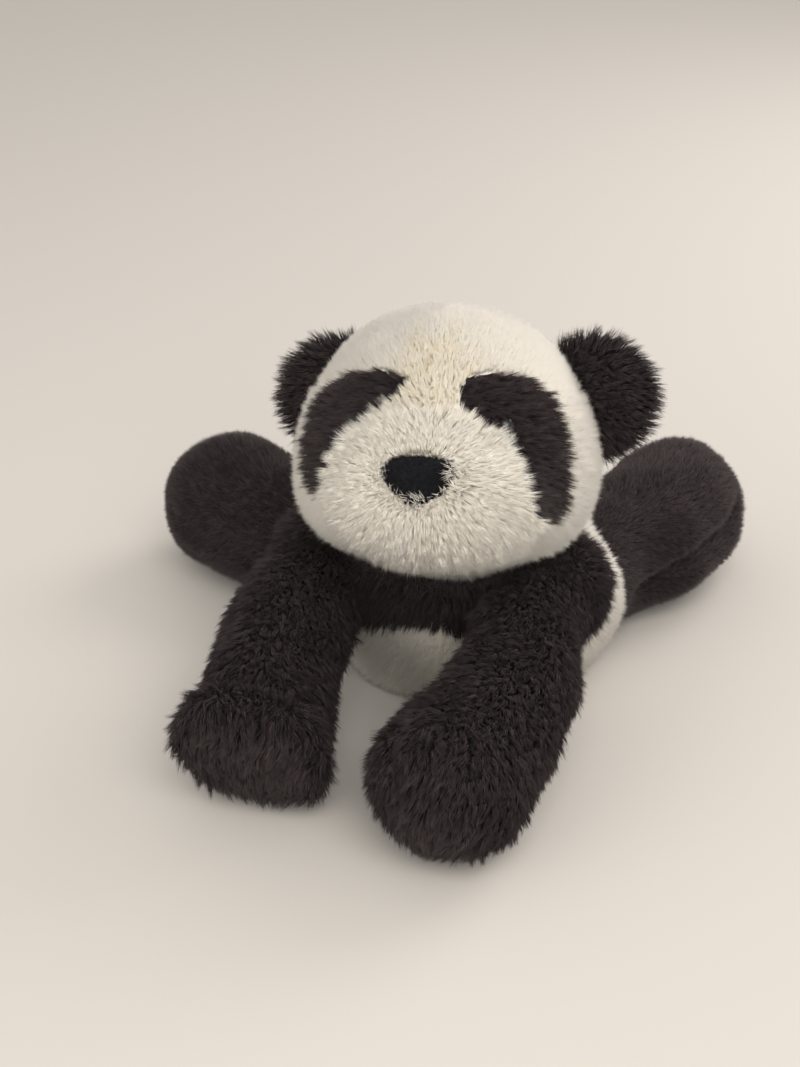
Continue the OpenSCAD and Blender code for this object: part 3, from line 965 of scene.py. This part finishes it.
# ---------- nose and eyes ----------
def nose():
    """A domed rounded triangle with a short nap."""
    rows, turns = 9, 72
    v, f = [], []
    y0 = -64.0
    for i in range(rows):
        k = i / (rows - 1)
        for j in range(turns):
            a = 2 * math.pi * j / turns
            wide = 14.6 * abs(math.cos(a)) ** -0.12 if abs(math.cos(a)) > 0.2 else 16.9
            tall = 6.2 if math.sin(a) > 0 else 11.8
            drop = abs(math.sin(a)) if math.sin(a) < 0 else 0
            x = 0.3 + wide * math.cos(a) * (1 - 0.5 * drop**1.3) * math.sin(k * math.pi / 2) ** 0.85
            z = -3.4 + tall * math.sin(a) * math.sin(k * math.pi / 2) ** 0.85
            crown = 4.4 * math.cos(k * math.pi / 2) ** 0.8 + 2.4
            y = y0 - crown + 0.020 * x * x
            v.append((x, y, z))
    for i in range(rows - 1):
        for j in range(turns):
            m = (j + 1) % turns
            f.append((i * turns + j, i * turns + m, (i + 1) * turns + m, (i + 1) * turns + j))
    n = len(v)
    v += [(x * 0.93 + 0.02, y + 6, z * 0.93 - 0.2) for x, y, z in v[-turns:]]
    for j in range(turns):
        m = (j + 1) % turns
        f.append((n - turns + j, n - turns + m, n + m, n + j))
    f.append(tuple(range(turns))[::-1])
    f.append(tuple(range(n, n + turns)))
    ob = mesh_object("nose_pad.cloth", from_head(np.array(v)), f)
    m = ob.modifiers.new("cells", "REMESH")
    m.mode, m.voxel_size = "VOXEL", 0.8 * MM
    m = ob.modifiers.new("relax", "SMOOTH")
    m.factor, m.iterations = 0.5, 8
    applied(ob)
    q, nv = scatter(ob.data, 4.5, 77)
    lay = np.tile(np.array([0, 0, -1.0]) @ HEAD.T, (len(q), 1))
    s, tone = strands(q, nv, lay, np.full(len(q), 1.7), np.full(len(q), 40.0), 78, wide=0.22, pull=0.35)
    pile("nose_pad.pile", s, tone, "velvet", "head", "nose_pad")
    ob.data.polygons.foreach_set("use_smooth", np.ones(len(ob.data.polygons), bool))
    dress(ob, knit("nose_velvet_cloth", (0.004, 0.004, 0.006), (0.013, 0.013, 0.018), pitch=0.7, sheen=0.0),
          plain("nose_velvet_ground", (0.008, 0.008, 0.011)))
    finish_piece(ob, "head", "nose_velvet", "nose_pad")


bead = moulded_plastic("bead_gloss", (0.004, 0.004, 0.004), (0.010, 0.009, 0.009), (0.10, 0.18), 0.3)
bead_flat = plain("bead_black", (0.006, 0.006, 0.006), rough=0.1)


def eye(side):
    lo, hi = (np.array(v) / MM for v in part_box("eye_" + side))
    wlo, whi = (np.array(v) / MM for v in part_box("eye_washer_" + side))
    foot = (wlo + whi) / 2
    out = unit((lo + hi) / 2 - foot)
    rows = [(-4.6, 1.1), (-4.2, 1.3), (-0.4, 1.3), (0.5, 1.9), (0.9, 3.4)]
    rows += [(1.7 + 3.8 * math.sin(a), 4.5 * math.cos(a)) for a in np.linspace(-0.25, 1.45, 16)]
    v, f = turned(rows, 48)
    x = unit(np.cross(out, [0.2, 0.1, 1]))
    top = foot + out * 1.0
    ob = mesh_object("eye_bead_" + side, top + v @ np.stack([x, np.cross(out, x), out]), f)
    ob.data.polygons.foreach_set("use_smooth", np.ones(len(f), bool))
    dress(ob, bead, bead_flat)
    finish_piece(ob, "head", "eye_bead", "eye_" + side)


# ---------- filling ----------
def fill(node, shapes, body, shape=None, grow=1.0, puff=0.9):
    """The stuffed core: relaxed as cloth under a little pressure, then smoothed."""
    ob = moulded(node + ".core", shapes, cell=4.6, relax=4)
    if shape:
        reshape(ob, shape, 1)
    start = points(ob.data)
    m = ob.modifiers.new("puff", "CLOTH")
    s = m.settings
    s.quality, s.mass, s.tension_stiffness, s.compression_stiffness = 4, 0.3, 15, 15
    s.use_pressure, s.uniform_pressure_force = True, 4
    s.effector_weights.gravity = 0
    m.point_cache.frame_start, m.point_cache.frame_end = 1, 12
    for i in range(1, 13):
        bpy.context.scene.frame_set(i)
    applied(ob)
    moved = points(ob.data) - start
    far = np.linalg.norm(moved, axis=1, keepdims=True)
    put(ob.data, start + moved * np.minimum(1, puff / np.maximum(far, 1e-6)))
    bpy.context.scene.frame_set(1)
    m = ob.modifiers.new("smooth", "SUBSURF")
    m.levels = m.render_levels = 1
    applied(ob)
    ob.data.polygons.foreach_set("use_smooth", np.ones(len(ob.data.polygons), bool))
    dress(ob, fibre, fibre_flat)
    finish_piece(ob, body, "fibre_fill", node)


fibre = knit("fibre_cloud", (0.78, 0.78, 0.76), (0.93, 0.93, 0.91), 3.0, bump=0.8, sheen=0.1, blotch=9.0)
fibre_flat = plain("fibre_flat", (0.88, 0.88, 0.86))


def fillings():
    fill("head_stuffing", head_forms(4.6, 4.7), "head")

    def hollow(p, n):
        for limb in LIMBS:
            p = cup(p, limb, 4.0)
        return over(off_head(p, 8), 4.0)

    inward = 27 * unit(ARM_L.o - ARM_R.o)
    yoke = capsule(ARM_R.o + inward, ARM_L.o - inward, 18.5)
    fill("torso_stuffing", [barrel(55), yoke], "torso", hollow)
    for limb, kind, _, shape in LIMB_SHAPES:
        core = limb_shape(limb, 5.0)
        q = limb.local(core[0])
        q[:, 2] -= 4.0 * ramp(q[:, 2], limb.len - 10, limb.len + 10)
        fill(f"{kind}_stuffing_{limb.side}", [(limb.world(q), core[1])], f"{kind}_{limb.side}",
             lambda p, n: over(shape(p, n), 4.0))


# ---------- stitching ----------
def stitches(node, body, centre, along, radius, turns, squeeze=None, coil_r=0.26, wire=0.22):
    """A waxed thread whipped round the gathered edge of a joint."""
    u = unit(along)
    x = unit(np.cross(u, [0.3, 0.2, 1]))
    y = np.cross(u, x)
    n, sides = turns * 10, 6
    t = np.linspace(0, 2 * math.pi, n, endpoint=False)
    out = np.cos(t)[:, None] * x + np.sin(t)[:, None] * y
    coil = t * turns
    path = out * (radius + coil_r * np.cos(coil)[:, None]) + u * (coil_r * np.sin(coil))[:, None]
    if squeeze:
        ahead = np.minimum(path @ squeeze.v, 0) * (squeeze.front - 1)
        path = path + ahead[:, None] * squeeze.v
    path = path + centre
    ahead = unit(np.roll(path, -1, 0) - np.roll(path, 1, 0))
    a = unit(np.cross(ahead, out))
    b = np.cross(ahead, a)
    s = np.arange(sides) * 2 * math.pi / sides
    rim = np.cos(s)[None, :, None] * a[:, None] + np.sin(s)[None, :, None] * b[:, None]
    v = path[:, None] + wire * rim
    f = []
    for i in range(n):
        here, there = i * sides, (i + 1) % n * sides
        for j in range(sides):
            k = (j + 1) % sides
            f.append((here + j, here + k, there + k, there + j))
    ob = mesh_object(node + ".thread", v.reshape(-1, 3), f)
    ob.data.polygons.foreach_set("use_smooth", np.ones(len(f), bool))
    dress(ob, thread, thread_flat)
    finish_piece(ob, body, "seam_thread", node)


thread = knit("waxed_thread", (0.03, 0.025, 0.025), (0.10, 0.085, 0.085), pitch=0.5, bump=0.9, blotch=5)
thread_flat = plain("thread_flat", (0.06, 0.05, 0.05))


def all_stitches():
    for limb, node in ((ARM_L, "shoulder_{}_left"), (ARM_R, "shoulder_{}_right"),
                       (LEG_L, "hip_{}_left"), (LEG_R, "hip_{}_right")):
        rho = limb.root - 0.3
        place = limb.o - 0.6 * rho * limb.u
        stitches(node.format("seam"), node.format("joint"), place, limb.u, 0.8 * rho, 60, limb)
    neck = joint_at("neck_turn")
    up = unit(joints["neck_turn"]["axis"])
    stitches("neck_seam", "neck_joint", neck - 4 * up, up, math.sqrt(21.25**2 - 16), 48, None, 0.62, 0.42)


# ---------- everything ----------
upholster(head, head_region, HEAD_PANELS, 11.0, 5, head_lay, head_length, head_tilt, head_trim, every=16)
ear("left", (56.5, 20, 17.5), "ear_left", 41)
ear("right", (-49, 20, 14), "ear_right", 43)
upholster(torso, torso_region, TORSO_PANELS, 4.6, 7, torso_lay, torso_length, torso_tilt, torso_trim)
for limb, kind, seed, shape in LIMB_SHAPES:
    limb_piece(limb, seed, shape, **LIMB_KINDS[kind])
nose()
eye("left")
eye("right")
fillings()
all_stitches()

pouch = knit("pouch_weave", (0.62, 0.58, 0.48), (0.85, 0.82, 0.72), pitch=0.8)
washer = moulded_plastic("washer_nylon", (0.6, 0.6, 0.58), (0.78, 0.78, 0.76), rough=(0.35, 0.55), coat=0.0)
finishes = {"pouch": pouch, "washer": washer, "neck_tube": ground["dark"][0]}
for name, ob in frame["nodes"].items():
    for key, material in finishes.items():
        if key in name:
            for s in ob.material_slots:
                s.link = "OBJECT"
                s.material = material

# ---------- floor, light and camera ----------
def floor():
    me = bpy.data.meshes.new("floor")
    me.from_pydata([(-30, -30, 0), (30, -30, 0), (30, 30, 0), (-30, 30, 0)], [], [(0, 1, 2, 3)])
    ob = bpy.data.objects.new("floor", me)
    bpy.context.scene.collection.objects.link(ob)
    m, nt, p = tree("pale_floor")
    p.inputs["Base Color"].default_value = (0.60, 0.575, 0.54, 1)
    p.inputs["Roughness"].default_value = 0.9
    p.inputs["Specular IOR Level"].default_value = 0.1
    me.materials.append(m)


def area(name, place, target, size, watts, colour=(1, 1, 1)):
    data = bpy.data.lights.new(name, "AREA")
    data.shape, data.size, data.energy, data.color = "DISK", size, watts, colour
    ob = bpy.data.objects.new(name, data)
    ob.location = place
    ob.rotation_euler = (Vector(target) - Vector(place)).to_track_quat("-Z", "Y").to_euler()
    bpy.context.scene.collection.objects.link(ob)


floor()
area("key", (0.25, -0.85, 1.05), (0, 0, 0.06), 1.1, 8.5, (1.0, 0.96, 0.90))
area("fill", (-0.9, -0.7, 0.45), (0, 0, 0.07), 0.9, 3.5, (1.0, 0.94, 0.88))
area("rim", (0.8, 0.6, 0.7), (0, 0, 0.08), 0.8, 6, (1.0, 0.94, 0.9))
area("low", (0.05, -1.2, 0.22), (0, 0, 0.08), 0.7, 2.2, (1.0, 0.96, 0.93))
world = bpy.data.worlds.new("studio")
world.use_nodes = True
world.node_tree.nodes["Background"].inputs["Color"].default_value = (1.0, 0.965, 0.92, 1)
world.node_tree.nodes["Background"].inputs["Strength"].default_value = 0.72
scene = bpy.context.scene
scene.world = world
scene.view_settings.view_transform = "Standard"

camera = bpy.data.cameras.new("camera")
camera.lens, camera.sensor_width, camera.sensor_fit = 76.5, 36, "HORIZONTAL"
eye_point = bpy.data.objects.new("camera", camera)
eye_point.location = (-0.0235, -0.658, 0.431)
eye_point.rotation_euler = (math.radians(60), 0, 0)
scene.collection.objects.link(eye_point)
scene.camera = eye_point
